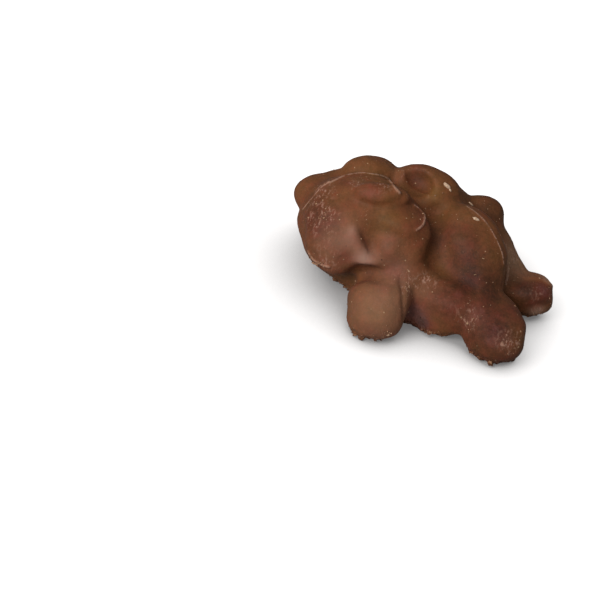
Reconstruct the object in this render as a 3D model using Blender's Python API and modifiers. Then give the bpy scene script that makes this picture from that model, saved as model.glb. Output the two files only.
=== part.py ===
"""A chocolate peanut cluster: whole roasted peanuts heaped and set in milk chocolate, as one solid.

Row frame: +X to the right and -Y towards the viewer of the cluster's front, +Z up. The origin is the
middle of the cluster's box, on the flat underside. All sizes below are in millimetres.
"""

import math
from collections import namedtuple

import bmesh
import bpy
import numpy as np
from mathutils import Matrix, Vector

MM = 0.001

# How the chocolate closes over the peanuts.
BLEND = 0.7  # softness of the hollow between two peanuts
WAVE_HEIGHT = 0.16  # each of the slow waves that leave the coat uneven
WAVE_LENGTHS = (6.5, 7.5, 9.0, 11.0, 13.0)
WAVE_SEED = 11
PEANUT_SUBDIVISIONS = 4
FUSE_VOXEL = 0.5  # grain of the fused surface before it is thinned
SETTLE_ROUNDS = 4  # times that the surface is relaxed and drawn back onto the coat
RELAX_PASSES = 3
RELAX_SHARE = 0.5
PROBE = 0.05  # step over which the coat's slope is felt
PROBE_ROUNDS = 3
LEAST_STEEPNESS = 0.2
TINY = 1e-6  # keeps a division from meeting zero
DEEPEST = 40.0  # keeps an exponential in range far inside a dish
TRIANGLES = 8200  # about how many are left on the finished solid

# The sheet that the cluster set on.
SHEET_BLOCK = (90, 90, 20)
LEVELLED = 0.25  # corners this near the cut are brought onto it, so that it leaves no splinters

# The chocolate's finish.
CHOCOLATE = (0.157, 0.072, 0.038, 1.0)  # linear
CHOCOLATE_ROUGHNESS = 0.42

# A coated peanut: its middle, compass heading and pitch in degrees, its three sizes, and how
# blunt it is, from 2 for a true ellipsoid upwards.
Lobe = namedtuple("Lobe", "name place heading pitch length width height blunt", defaults=[2.0])

# A furrow pressed along a bent line through its points.
Furrow = namedtuple("Furrow", "name radius points")

# Peanuts whose ends stand out at the foot of the heap, like legs.
LEGS = [
    Lobe("leg_front_left", (-7.1, -12.4, 4.8), 267, -14, 16.0, 11.7, 10.8, 2.5),
    Lobe("leg_front_right", (14.6, -13.4, 4.3), 282, -10, 15.2, 11.2, 10.2, 2.4),
    Lobe("root_front_right", (11.6, -9.2, 6.2), 300, -14, 14.0, 9.0, 9.0),
    Lobe("leg_right", (19.2, -0.7, 4.2), 2, 4, 13.8, 8.2, 7.8, 2.9),
    Lobe("leg_back_left", (-15.5, 12.2, 4.5), 138, -10, 17.0, 11.0, 10.0, 2.3),
    Lobe("leg_back_right", (10.4, 14.2, 4.2), 66, -8, 14.6, 10.4, 9.4, 2.3),
]

# Peanuts round the flank of the heap, low down.
FLANK = [
    Lobe("front_middle", (4.2, -9.4, 5.8), 338, 0, 17.0, 10.6, 10.8, 2.2),
    Lobe("front_foot", (1.4, -11.3, 1.6), 342, 0, 12.0, 4.2, 4.0),
    Lobe("left_low", (-14.6, 4.4, 6.2), 112, 4, 15.6, 10.0, 10.4),
    Lobe("left_back_low", (-18.2, 8.4, 7.2), 96, 0, 14.0, 9.4, 10.4, 2.2),
    Lobe("back_middle", (-3.0, 15.4, 5.0), 168, 0, 17.0, 10.4, 10.8, 2.2),
    Lobe("back_right_low", (5.4, 14.2, 6.4), 80, -6, 13.0, 8.8, 9.6),
    Lobe("right_back", (14.2, 6.4, 7.9), 318, -30, 17.0, 8.4, 8.0),
]

# Peanuts on the shoulders and top of the heap.
CROWN = [
    Lobe("dome", (-13.1, 0.8, 12.2), 0, 0, 22.4, 18.6, 20.4, 2.2),
    Lobe("shoulder_left", (-16.3, -3.5, 12.5), 66, 8, 15.0, 12.0, 11.2, 2.3),
    Lobe("shoulder_right", (8.6, -1.2, 12.0), 300, -36, 19.6, 13.0, 12.2, 2.2),
    Lobe("crown_front", (-10.0, -1.6, 20.2), 8, 0, 10.6, 5.6, 7.2),
    Lobe("crown_middle", (-5.8, -2.2, 14.6), 318, -22, 15.0, 12.0, 12.6, 2.2),
    Lobe("crown_back", (-12.7, 10.2, 18.6), 20, 4, 10.6, 8.6, 8.4),
    Lobe("crown_saddle", (-18.2, 9.2, 14.0), 20, 26, 11.0, 9.0, 8.0),
    Lobe("crown_right", (-1.8, 9.0, 17.2), 330, -8, 13.4, 10.8, 10.8, 2.2),
    Lobe("crown_slope", (3.2, 8.9, 14.8), 0, -34, 15.4, 10.4, 8.8),
    Lobe("shoulder_back_left", (-21.4, 7.6, 12.9), 130, -6, 10.6, 8.8, 9.0),
    Lobe("knob_right", (10.4, 11.6, 13.0), 8, 4, 8.7, 8.0, 8.4),
    Lobe("nub_front", (-7.0, -6.4, 14.7), 262, -10, 7.4, 6.0, 6.4),
    Lobe("lip_front", (-12.0, -6.9, 10.8), 10, 10, 13.0, 7.4, 6.2, 2.2),
    Lobe("shelf_front", (-4.6, -8.0, 9.0), 345, 0, 12.0, 7.0, 6.6),
    Lobe("shoulder_back", (0.4, 12.6, 11.0), 18, -14, 16.0, 9.6, 10.0, 2.2),
    Lobe("back_upper", (-11.4, 14.2, 11.4), 196, -8, 13.0, 9.6, 9.6, 2.2),
]

# The chocolate that fills the heap between the peanuts.
FILL = [
    Lobe("core", (-1.4, 3.0, 5.5), 0, 0, 32.6, 28.0, 23.0),
]
LOBES = LEGS + FLANK + CROWN + FILL

# Dished places where the coat sank.
DISHES = [
    Lobe("dimple_crown", (-3.5, 6.5, 21.2), 321, -14, 6.4, 5.0, 4.8),
]

FURROWS = [
    Furrow("valley_top", 1.5, [(0.6, 1.8, 18.4), (1.3, -3.2, 17.4), (2.0, -5.6, 15.4), (2.6, -7.6, 13.2)]),
    Furrow("valley_low", 1.6, [(2.6, -8.2, 14.2), (5.4, -9.4, 13.4), (8.4, -11.0, 13.2)]),
    Furrow("under_lip", 1.0, [(-13.4, -8.9, 6.0), (-12.8, -10.1, 7.9), (-11.5, -10.6, 9.3)]),
    Furrow("over_leg", 1.0, [(-11.5, -10.6, 9.3), (-10.0, -10.7, 10.2), (-8.2, -11.2, 11.7)]),
]


def start_empty_scene():
    for item in list(bpy.data.objects):
        bpy.data.objects.remove(item, do_unlink=True)


def new_collection(name):
    made = bpy.data.collections.new(name)
    bpy.context.scene.collection.children.link(made)
    return made


def lobe_turn(lobe):
    heading = Matrix.Rotation(math.radians(lobe.heading), 4, "Z")
    pitch = Matrix.Rotation(math.radians(-lobe.pitch), 4, "Y")
    return heading @ pitch


def lobe_matrix(lobe):
    """Unit sphere to coated peanut, in metres: its length along local X, turned to its heading and pitch."""
    size = Matrix.Diagonal((lobe.length / 2 * MM, lobe.width / 2 * MM, lobe.height / 2 * MM, 1))
    return Matrix.Translation(Vector(lobe.place) * MM) @ lobe_turn(lobe) @ size


def lobe_distance(points, lobe):
    """About how far each point, in millimetres, lies outside one coated peanut."""
    turn = np.array(lobe_turn(lobe).to_3x3())
    half = np.array((lobe.length, lobe.width, lobe.height)) / 2
    local = np.abs((points - np.array(lobe.place)) @ turn) / half
    reach = np.maximum((local**lobe.blunt).sum(axis=1), TINY) ** (1 / lobe.blunt)
    slope = np.linalg.norm(local ** (lobe.blunt - 1) / half, axis=1) * reach ** (1 - lobe.blunt)
    return (reach - 1) / np.maximum(slope, TINY)


def furrow_distance(points, furrow):
    """How far each point lies outside the round channel along the furrow's line."""
    nearest = np.full(len(points), np.inf)
    for start, end in zip(furrow.points, furrow.points[1:]):
        start, run = np.array(start), np.array(end) - np.array(start)
        along = np.clip((points - start) @ run / (run @ run), 0, 1)
        nearest = np.minimum(nearest, np.linalg.norm(points - start - along[:, None] * run, axis=1))
    return nearest - furrow.radius


def coat_waves(points):
    """The slow unevenness of a coat that set by hand: a few crossed waves in seeded directions."""
    draw = np.random.default_rng(WAVE_SEED)
    height = np.zeros(len(points))
    for length in WAVE_LENGTHS:
        heading = draw.normal(size=3)
        heading /= np.linalg.norm(heading)
        height += WAVE_HEIGHT * np.sin(math.tau * (points @ heading / length + draw.random()))
    return height


def coat_height(points):
    """How far each point lies outside the chocolate that joins all the lobes, negative inside."""
    heap = sum(np.exp(-lobe_distance(points, lobe) / BLEND) for lobe in LOBES)
    height = -BLEND * np.log(heap) - coat_waves(points)
    sunk = [lobe_distance(points, dish) for dish in DISHES]
    sunk += [furrow_distance(points, furrow) for furrow in FURROWS]
    total = np.exp(height / BLEND)
    for distance in sunk:
        total = total + np.exp(np.minimum(-distance / BLEND, DEEPEST))
    return BLEND * np.log(total)


def draw_onto_coat(points):
    """Moves points, in millimetres, down the coat's slope onto its surface."""
    for _ in range(PROBE_ROUNDS):
        height = coat_height(points)
        rises = [coat_height(points + axis * PROBE) - height for axis in np.eye(3)]
        slope = np.stack(rises, axis=1) / PROBE
        steepness = np.maximum((slope**2).sum(axis=1), LEAST_STEEPNESS)
        points = points - slope * (height / steepness)[:, None]
    return points


def mesh_points(data):
    flat = np.empty(len(data.vertices) * 3)
    data.vertices.foreach_get("co", flat)
    return flat.reshape(-1, 3)


def with_modifiers(item):
    """A new mesh: the object's, as its modifiers leave it."""
    bpy.context.view_layer.update()
    return bpy.data.meshes.new_from_object(item.evaluated_get(bpy.context.evaluated_depsgraph_get()))


def heap_of_peanuts(collection):
    """All the coated peanuts in one object, still passing through each other."""
    mesh = bmesh.new()
    for lobe in LOBES:
        place = lobe_matrix(lobe)
        bmesh.ops.create_icosphere(mesh, subdivisions=PEANUT_SUBDIVISIONS, radius=1.0, matrix=place)
    data = bpy.data.meshes.new("peanut_cluster")
    mesh.to_mesh(data)
    mesh.free()
    heap = bpy.data.objects.new("peanut_cluster", data)
    collection.objects.link(heap)
    return heap


def coat(heap):
    """Fuses the peanuts and settles the fused surface onto the coat, with even faces."""
    fuse = heap.modifiers.new("fuse", "REMESH")
    fuse.mode = "VOXEL"
    fuse.voxel_size = FUSE_VOXEL * MM
    relax = heap.modifiers.new("relax", "SMOOTH")
    relax.factor = RELAX_SHARE
    relax.iterations = RELAX_PASSES
    for _ in range(SETTLE_ROUNDS):
        settled = with_modifiers(heap)
        points = draw_onto_coat(mesh_points(settled) / MM) * MM
        settled.vertices.foreach_set("co", points.ravel())
        settled.update()
        heap.data = settled
        fuse.show_viewport = fuse.show_render = False
    heap.modifiers.clear()


def thin_out(cluster):
    """Collapses the smallest faces, which leaves more of them where the surface bends most."""
    thin = cluster.modifiers.new("thin", "DECIMATE")
    thin.ratio = TRIANGLES / (2 * len(cluster.data.polygons))
    cluster.data = with_modifiers(cluster)
    cluster.modifiers.clear()


def flatten_underside(cluster, cutters):
    """Cuts the cluster level where it lay on the sheet while the chocolate set."""
    block = bmesh.new()
    bmesh.ops.create_cube(block, size=1.0)
    bmesh.ops.scale(block, vec=Vector(SHEET_BLOCK) * MM, verts=block.verts)
    bmesh.ops.translate(block, vec=Vector((0, 0, -SHEET_BLOCK[2] / 2)) * MM, verts=block.verts)
    data = bpy.data.meshes.new("sheet_cutter")
    block.to_mesh(data)
    block.free()
    sheet = bpy.data.objects.new("sheet_cutter", data)
    sheet.hide_render = True
    sheet.display_type = "WIRE"
    cutters.objects.link(sheet)
    points = mesh_points(cluster.data)
    points[np.abs(points[:, 2]) < LEVELLED * MM, 2] = 0
    cluster.data.vertices.foreach_set("co", points.ravel())
    cut = cluster.modifiers.new("cut", "BOOLEAN")
    cut.operation = "DIFFERENCE"
    cut.object = sheet
    cluster.data = with_modifiers(cluster)
    cluster.modifiers.clear()


def centre_on_origin(cluster):
    """Brings the middle of the cluster's box over the origin."""
    points = mesh_points(cluster.data)
    middle = (points.min(axis=0) + points.max(axis=0)) / 2
    print("the box's middle was at", (middle[:2] / MM).round(2), "mm")
    points[:, :2] -= middle[:2]
    cluster.data.vertices.foreach_set("co", points.ravel())
    cluster.data.update()


def milk_chocolate():
    made = bpy.data.materials.new("milk_chocolate")
    made.use_nodes = True
    shader = made.node_tree.nodes["Principled BSDF"]
    shader.inputs["Base Color"].default_value = CHOCOLATE
    shader.inputs["Roughness"].default_value = CHOCOLATE_ROUGHNESS
    shader.inputs["Metallic"].default_value = 0.0
    return made


def main():
    start_empty_scene()
    parts = new_collection("chocolate_peanut_cluster")
    cutters = new_collection("cutters")
    cluster = heap_of_peanuts(parts)
    coat(cluster)
    thin_out(cluster)
    flatten_underside(cluster, cutters)
    centre_on_origin(cluster)
    cluster.data.materials.clear()
    cluster.data.materials.append(milk_chocolate())
    cluster.data.shade_smooth()


main()
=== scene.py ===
# %% [markdown]
# # A chocolate peanut cluster
#
# The real thing is a spoonful of whole roasted peanuts, stirred through tempered milk chocolate and
# dropped on a flat sheet to set. The chocolate closes over the nuts in one lumpy coat, so the whole
# sweet is one piece. What makes it look real is small: hollows between the nuts, thin raised seams
# where one fold of chocolate ran over another, a ragged foot, and the pale scuffs, crumbs and bloom
# that every loose chocolate picks up in its box.
#
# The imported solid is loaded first. It is the fixed frame that everything else has to fit.

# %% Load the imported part
import math
from collections import namedtuple

import bmesh
import bpy
import numpy as np
from mathutils import Matrix, Vector, noise
from mathutils.bvhtree import BVHTree


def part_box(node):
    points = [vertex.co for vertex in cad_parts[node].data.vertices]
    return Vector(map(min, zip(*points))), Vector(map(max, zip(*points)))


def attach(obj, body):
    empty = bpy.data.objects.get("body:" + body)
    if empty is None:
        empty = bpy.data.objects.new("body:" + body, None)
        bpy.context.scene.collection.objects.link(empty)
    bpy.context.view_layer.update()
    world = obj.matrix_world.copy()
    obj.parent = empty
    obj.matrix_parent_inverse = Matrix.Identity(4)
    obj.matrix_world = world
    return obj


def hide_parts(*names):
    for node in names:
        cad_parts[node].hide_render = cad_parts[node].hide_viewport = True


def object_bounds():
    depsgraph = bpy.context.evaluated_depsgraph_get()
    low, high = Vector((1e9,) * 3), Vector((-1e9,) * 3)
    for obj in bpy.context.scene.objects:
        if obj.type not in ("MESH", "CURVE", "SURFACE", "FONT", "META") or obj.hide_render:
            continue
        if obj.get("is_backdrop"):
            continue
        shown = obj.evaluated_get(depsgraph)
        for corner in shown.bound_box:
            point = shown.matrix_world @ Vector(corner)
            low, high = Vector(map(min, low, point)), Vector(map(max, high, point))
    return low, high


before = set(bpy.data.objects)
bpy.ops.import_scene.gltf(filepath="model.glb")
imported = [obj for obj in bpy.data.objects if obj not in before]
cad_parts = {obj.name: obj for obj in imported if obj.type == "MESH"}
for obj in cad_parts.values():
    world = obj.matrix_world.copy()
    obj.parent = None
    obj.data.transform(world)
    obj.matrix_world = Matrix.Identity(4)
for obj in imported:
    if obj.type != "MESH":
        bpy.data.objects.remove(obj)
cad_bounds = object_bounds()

MM = 0.001
NODE = "peanut_cluster"
BODY = "root"
box_low, box_high = [np.array(corner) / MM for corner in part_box(NODE)]
print("the solid's box is", (box_high - box_low).round(2), "mm")

# %% [markdown]
# ## Two helpers
#
# Colours are picked as sRGB hex, the way a paint program shows them, but Blender mixes light in
# linear values. One function turns one into the other. A second one adds a shader node, sets its
# fields and connects its inputs, so that a material reads as a list of what it is made of.

# %% Colour and node helpers
def linear(code):
    """An sRGB hex colour as linear red, green, blue and alpha."""
    parts = [int(code[i : i + 2], 16) / 255 for i in (1, 3, 5)]
    return tuple(c / 12.92 if c <= 0.04045 else ((c + 0.055) / 1.055) ** 2.4 for c in parts) + (1.0,)


def add(tree, kind, inputs=None, stops=None, **settings):
    """Adds a node: its settings, its inputs as values or as other nodes' outputs, and a ramp's stops."""
    node = tree.nodes.new(kind)
    for name, value in settings.items():
        setattr(node, name, value)
    for key, value in (inputs or {}).items():
        value = value.outputs[0] if isinstance(value, bpy.types.Node) else value
        if isinstance(value, bpy.types.NodeSocket):
            tree.links.new(value, node.inputs[key])
        else:
            node.inputs[key].default_value = value
    if stops:
        ramp = node.color_ramp.elements
        while len(ramp) < len(stops):
            ramp.new(0.5)
        for element, (position, colour) in zip(ramp, stops):
            element.position = position
            element.color = colour
    return node


def new_material(name):
    """An empty node tree with its output, and the material that owns it."""
    made = bpy.data.materials.new(name)
    made.use_nodes = True
    made.node_tree.nodes.clear()
    return made, made.node_tree


print("milk chocolate in linear light:", [round(c, 3) for c in linear("#6f4833")[:3]])

# %% [markdown]
# ## The camera
#
# The photograph looks down at the cluster by about 35 degrees through a long lens. There the sweet
# leans, its left side about 10 degrees up. The model stands level on its flat underside, so the
# camera is rolled by that much instead. One pixel is 0.19 mm at the middle of the sweet, and the
# point 10 mm above the middle of its underside falls on one known pixel of the 600 pixel square.

# %% Camera
ELEVATION = math.radians(35)
ROLL = math.radians(10)
LENS = 100.0
SENSOR = 36.0
IMAGE_SIDE = 600
MM_PER_PIXEL = 0.19
ANCHOR = Vector((0, 0, 10))
ANCHOR_PIXEL = (423.9, 248.3)

distance = MM_PER_PIXEL * IMAGE_SIDE * LENS / SENSOR
look = Vector((0, math.cos(ELEVATION), -math.sin(ELEVATION)))
level_up = Vector((0, math.sin(ELEVATION), math.cos(ELEVATION)))
level_right = Vector((1, 0, 0))
right = level_right * math.cos(ROLL) + level_up * math.sin(ROLL)
up = level_up * math.cos(ROLL) - level_right * math.sin(ROLL)
across = (ANCHOR_PIXEL[0] - IMAGE_SIDE / 2) * MM_PER_PIXEL
upward = (IMAGE_SIDE / 2 - ANCHOR_PIXEL[1]) * MM_PER_PIXEL
eye = ANCHOR - right * across - up * upward - look * distance

camera_data = bpy.data.cameras.new("camera")
camera_data.lens = LENS
camera_data.sensor_width = SENSOR
camera = bpy.data.objects.new("camera", camera_data)
bpy.context.scene.collection.objects.link(camera)
turned = Matrix((right, up, -look)).transposed().to_4x4()
camera.matrix_world = Matrix.Translation(eye * MM) @ turned
bpy.context.scene.camera = camera
print("the camera stands", round(distance), "mm away, at", [round(c) for c in eye])

# %% [markdown]
# ## Light and floor
#
# The photograph is high key: one wide light from the front left, soft light from all round, and a floor so
# bright that only the shadows close to the sweet are left on it. A world that is brighter towards the key
# gives the soft light. Seen by the camera, the floor glows white, and the glow is darkened by ambient
# occlusion where the sweet hides the sky from it: a painted shadow. To all other rays it is a grey floor
# that throws back less than half of the light.

# %% Studio light
KEY_AZIMUTH = math.radians(-40)
KEY_ELEVATION = math.radians(37)
KEY_DISTANCE = 0.50
KEY_SIDE = 0.28
KEY_POWER = 2.48
WORLD_FRONT = 0.53
WORLD_BACK = 0.15

towards_key = Vector(
    (
        math.sin(KEY_AZIMUTH) * math.cos(KEY_ELEVATION),
        -math.cos(KEY_AZIMUTH) * math.cos(KEY_ELEVATION),
        math.sin(KEY_ELEVATION),
    )
)
key_data = bpy.data.lights.new("key", "AREA")
key_data.shape = "SQUARE"
key_data.size = KEY_SIDE
key_data.energy = KEY_POWER
key_data.color = (1.0, 0.98, 0.97)
key = bpy.data.objects.new("key", key_data)
key.location = ANCHOR * MM + towards_key * KEY_DISTANCE
key.rotation_euler = towards_key.to_track_quat("Z", "Y").to_euler()
bpy.context.scene.collection.objects.link(key)

world = bpy.data.worlds.new("soft_room")
world.use_nodes = True
world.node_tree.nodes.clear()
room = world.node_tree
way = add(room, "ShaderNodeTexCoord").outputs["Generated"]
facing = add(room, "ShaderNodeVectorMath", {0: way, 1: tuple(towards_key)}, operation="DOT_PRODUCT")
glow = add(
    room,
    "ShaderNodeMapRange",
    {"Value": facing.outputs["Value"], "From Min": -1.0, "To Min": WORLD_BACK, "To Max": WORLD_FRONT},
)
soft = add(room, "ShaderNodeBackground", {"Color": linear("#fbfcff"), "Strength": glow})
add(room, "ShaderNodeOutputWorld", {"Surface": soft})
bpy.context.scene.world = world
bpy.context.scene.view_settings.view_transform = "Standard"

# %% Floor
FLOOR_SIDE = 1.6
FLOOR_BOUNCE = (0.36, 0.36, 0.36, 1.0)
FLOOR_PAINT = (0.25, 0.25, 0.25, 1.0)
FLOOR_PAINTED_SHADOW_DARKEST = 0.12
CLOSE_SHADOW = 0.022
SKY_SHUT = 0.25
SKY_OPEN = 0.97

white_table, tree = new_material("white_table_matt_painted")
bounce = add(tree, "ShaderNodeBsdfDiffuse", {"Color": FLOOR_BOUNCE})
paint = add(tree, "ShaderNodeBsdfDiffuse", {"Color": FLOOR_PAINT})
# The glow seen by the camera is darkened by ambient occlusion near the sweet: a painted shadow on a glowing
# floor.
open_sky = add(tree, "ShaderNodeAmbientOcclusion", {"Distance": CLOSE_SHADOW}, samples=16)
sky_range = {"From Min": SKY_SHUT, "From Max": SKY_OPEN, "To Min": FLOOR_PAINTED_SHADOW_DARKEST}
glow_strength_with_painted_shadow = add(tree, "ShaderNodeMapRange", {"Value": open_sky.outputs["AO"], **sky_range})
glow_with_painted_shadow = add(tree, "ShaderNodeEmission", {"Color": linear("#fffdfc"), "Strength": glow_strength_with_painted_shadow})
seen = add(tree, "ShaderNodeAddShader", {0: paint, 1: glow_with_painted_shadow})
ray = add(tree, "ShaderNodeLightPath")
both = add(tree, "ShaderNodeMixShader", {0: ray.outputs["Is Camera Ray"], 1: bounce, 2: seen})
add(tree, "ShaderNodeOutputMaterial", {"Surface": both})
mesh = bmesh.new()
bmesh.ops.create_grid(mesh, x_segments=1, y_segments=1, size=FLOOR_SIDE / 2)
floor_data = bpy.data.meshes.new("floor")
mesh.to_mesh(floor_data)
mesh.free()
floor = bpy.data.objects.new("floor", floor_data)
floor.data.materials.append(white_table)
bpy.context.scene.collection.objects.link(floor)
floor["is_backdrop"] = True
print("floor", FLOOR_SIDE, "m wide")

# %% [markdown]
# ## The peanuts under the coat
#
# Every lump is one peanut in its coat: a blunt egg with a middle, a compass heading, a pitch and
# three sizes, all in millimetres. They are the same as in the solid, so the visual mesh keeps its
# form. Below them come the low swellings that a solid of few triangles leaves out.

# %% The heap's measurements
Lobe = namedtuple("Lobe", "name place heading pitch length width height blunt", defaults=[2.0])
LEGS = [
    Lobe("leg_front_left", (-7.1, -12.4, 4.8), 267, -14, 16.0, 11.7, 10.8, 2.5),
    Lobe("leg_front_right", (14.6, -13.4, 4.3), 282, -10, 15.2, 11.2, 10.2, 2.4),
    Lobe("root_front_right", (11.6, -9.2, 6.2), 300, -14, 14.0, 9.0, 9.0),
    Lobe("leg_right", (19.2, -0.7, 4.2), 2, 4, 13.8, 8.2, 7.8, 2.9),
    Lobe("leg_back_left", (-15.5, 12.2, 4.5), 138, -10, 17.0, 11.0, 10.0, 2.3),
    Lobe("leg_back_right", (10.4, 14.2, 4.2), 66, -8, 14.6, 10.4, 9.4, 2.3),
]
FLANK = [
    Lobe("front_middle", (4.2, -9.4, 5.8), 338, 0, 17.0, 10.6, 10.8, 2.2),
    Lobe("front_foot", (1.4, -11.3, 1.6), 342, 0, 12.0, 4.2, 4.0),
    Lobe("left_low", (-14.6, 4.4, 6.2), 112, 4, 15.6, 10.0, 10.4),
    Lobe("left_back_low", (-18.2, 8.4, 7.2), 96, 0, 14.0, 9.4, 10.4, 2.2),
    Lobe("back_middle", (-3.0, 15.4, 5.0), 168, 0, 17.0, 10.4, 10.8, 2.2),
    Lobe("back_right_low", (5.4, 14.2, 6.4), 80, -6, 13.0, 8.8, 9.6),
    Lobe("right_back", (14.2, 6.4, 7.9), 318, -30, 17.0, 8.4, 8.0),
]
CROWN = [
    Lobe("dome", (-13.1, 0.8, 12.2), 0, 0, 22.4, 18.6, 20.4, 2.2),
    Lobe("shoulder_left", (-16.3, -3.5, 12.5), 66, 8, 15.0, 12.0, 11.2, 2.3),
    Lobe("shoulder_right", (8.6, -1.2, 12.0), 300, -36, 19.6, 13.0, 12.2, 2.2),
    Lobe("crown_front", (-10.0, -1.6, 20.2), 8, 0, 10.6, 5.6, 7.2),
    Lobe("crown_middle", (-5.8, -2.2, 14.6), 318, -22, 15.0, 12.0, 12.6, 2.2),
    Lobe("crown_back", (-12.7, 10.2, 18.6), 20, 4, 10.6, 8.6, 8.4),
    Lobe("crown_saddle", (-18.2, 9.2, 14.0), 20, 26, 11.0, 9.0, 8.0),
    Lobe("crown_right", (-1.8, 9.0, 17.2), 330, -8, 13.4, 10.8, 10.8, 2.2),
    Lobe("crown_slope", (3.2, 8.9, 14.8), 0, -34, 15.4, 10.4, 8.8),
    Lobe("shoulder_back_left", (-21.4, 7.6, 12.9), 130, -6, 10.6, 8.8, 9.0),
    Lobe("knob_right", (10.4, 11.6, 13.0), 8, 4, 8.7, 8.0, 8.4),
    Lobe("nub_front", (-7.0, -6.4, 14.7), 262, -10, 7.4, 6.0, 6.4),
    Lobe("lip_front", (-12.0, -6.9, 10.8), 10, 10, 13.0, 7.4, 6.2, 2.2),
    Lobe("shelf_front", (-4.6, -8.0, 9.0), 345, 0, 12.0, 7.0, 6.6),
    Lobe("shoulder_back", (0.4, 12.6, 11.0), 18, -14, 16.0, 9.6, 10.0, 2.2),
    Lobe("back_upper", (-11.4, 14.2, 11.4), 196, -8, 13.0, 9.6, 9.6, 2.2),
]
FILL = [Lobe("core", (-1.4, 3.0, 5.5), 0, 0, 32.6, 28.0, 23.0)]
SWELLINGS = [
    Lobe("under_the_brow", (-9.9, -2.7, 22.4), 5, 0, 9.6, 4.2, 3.6),
    Lobe("olive_swelling", (-5.9, -5.0, 18.9), 318, -10, 7.4, 5.6, 3.6),
    Lobe("cheek_ridge", (-13.0, -9.0, 14.8), 330, -47, 7.2, 2.8, 2.6),
    Lobe("lip_edge", (-9.8, -9.1, 12.1), 8, 0, 6.8, 4.3, 2.8),
]
LOBES = LEGS + FLANK + CROWN + FILL + SWELLINGS
DISHES = [Lobe("dimple_crown", (-3.5, 6.5, 21.2), 321, -14, 6.4, 5.0, 4.8)]

Furrow = namedtuple("Furrow", "name radius points")
FURROWS = [
    Furrow("valley_top", 1.5, [(0.6, 1.8, 18.4), (1.3, -3.2, 17.4), (2.0, -5.6, 15.4), (2.6, -7.6, 13.2)]),
    Furrow("valley_low", 1.6, [(2.6, -8.2, 14.2), (5.4, -9.4, 13.4), (8.4, -11.0, 13.2)]),
    Furrow("under_lip", 1.0, [(-13.4, -8.9, 6.0), (-12.8, -10.1, 7.9), (-11.5, -10.6, 9.3)]),
    Furrow("over_leg", 1.0, [(-11.5, -10.6, 9.3), (-10.0, -10.9, 10.0), (-8.6, -12.2, 10.6)]),
]
BLEND = 0.7
WAVE_HEIGHT = 0.16
WAVE_LENGTHS = (6.5, 7.5, 9.0, 11.0, 13.0)
WAVE_SEED = 11
print(len(LOBES), "peanuts,", len(FURROWS), "furrows")

# %% [markdown]
# ## The coat as a distance
#
# Chocolate doesn't follow each nut exactly: it rounds off the hollow between two of them. That is
# what a smooth minimum of distances does. Each lobe gives its distance, the smooth minimum joins
# them, slow waves make the coat uneven, and dishes and furrows are taken off again.

# %% Distance to the coat
TINY = 1e-6
DEEPEST = 40.0
PROBE = 0.05
LEAST_STEEPNESS = 0.2


def lobe_turn(lobe):
    """The turn of a coated peanut: its pitch first, then its heading."""
    heading = Matrix.Rotation(math.radians(lobe.heading), 4, "Z")
    pitch = Matrix.Rotation(math.radians(-lobe.pitch), 4, "Y")
    return heading @ pitch


def lobe_distance(points, lobe):
    """About how far each point lies outside one coated peanut, in millimetres."""
    turn = np.array(lobe_turn(lobe).to_3x3())
    half = np.array((lobe.length, lobe.width, lobe.height)) / 2
    local = np.abs((points - np.array(lobe.place)) @ turn) / half
    reach = np.maximum((local**lobe.blunt).sum(axis=1), TINY) ** (1 / lobe.blunt)
    slope = np.linalg.norm(local ** (lobe.blunt - 1) / half, axis=1) * reach ** (1 - lobe.blunt)
    return (reach - 1) / np.maximum(slope, TINY)


def line_distance(points, line):
    """How far each point lies from a bent line through the given points."""
    nearest = np.full(len(points), np.inf)
    for start, end in zip(line, line[1:]):
        start, run = np.array(start), np.array(end) - np.array(start)
        along = np.clip((points - start) @ run / (run @ run), 0, 1)
        nearest = np.minimum(nearest, np.linalg.norm(points - start - along[:, None] * run, axis=1))
    return nearest


def coat_waves(points):
    """The slow unevenness of a coat that set by hand: a few crossed waves in seeded directions."""
    draw = np.random.default_rng(WAVE_SEED)
    height = np.zeros(len(points))
    for length in WAVE_LENGTHS:
        heading = draw.normal(size=3)
        heading /= np.linalg.norm(heading)
        height += WAVE_HEIGHT * np.sin(math.tau * (points @ heading / length + draw.random()))
    return height


def coat_height(points):
    """How far each point lies outside the chocolate that joins all the lobes, negative inside."""
    heap = sum(np.exp(-lobe_distance(points, lobe) / BLEND) for lobe in LOBES)
    height = -BLEND * np.log(heap) - coat_waves(points)
    sunk = [lobe_distance(points, dish) for dish in DISHES]
    sunk += [line_distance(points, furrow.points) - furrow.radius for furrow in FURROWS]
    total = np.exp(height / BLEND)
    for depth in sunk:
        total = total + np.exp(np.minimum(-depth / BLEND, DEEPEST))
    return BLEND * np.log(total)


def draw_onto_coat(points, rounds=3):
    """Moves points down the coat's slope onto its surface."""
    for _ in range(rounds):
        height = coat_height(points)
        rises = [coat_height(points + axis * PROBE) - height for axis in np.eye(3)]
        slope = np.stack(rises, axis=1) / PROBE
        steepness = np.maximum((slope**2).sum(axis=1), LEAST_STEEPNESS)
        points = points - slope * (height / steepness)[:, None]
    return points


# %% [markdown]
# ## Fuse the heap and settle it
#
# Icospheres stand for the peanuts. A voxel Remesh fuses them into one skin, Smooth relaxes it, and
# the vertices are drawn onto the coat, a few times over. A second, finer Remesh then gives faces
# small enough for the thin seams and the ragged foot.

# %% Fuse and settle
COARSE_VOXEL = 0.5
FINE_VOXEL = 0.285


def mesh_points(data):
    """A mesh's vertices as rows of millimetres."""
    flat = np.empty(len(data.vertices) * 3)
    data.vertices.foreach_get("co", flat)
    return flat.reshape(-1, 3) / MM


def set_points(data, points):
    """Gives a mesh's vertices new places, from rows of millimetres."""
    data.vertices.foreach_set("co", (points * MM).ravel())
    data.update()


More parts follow.
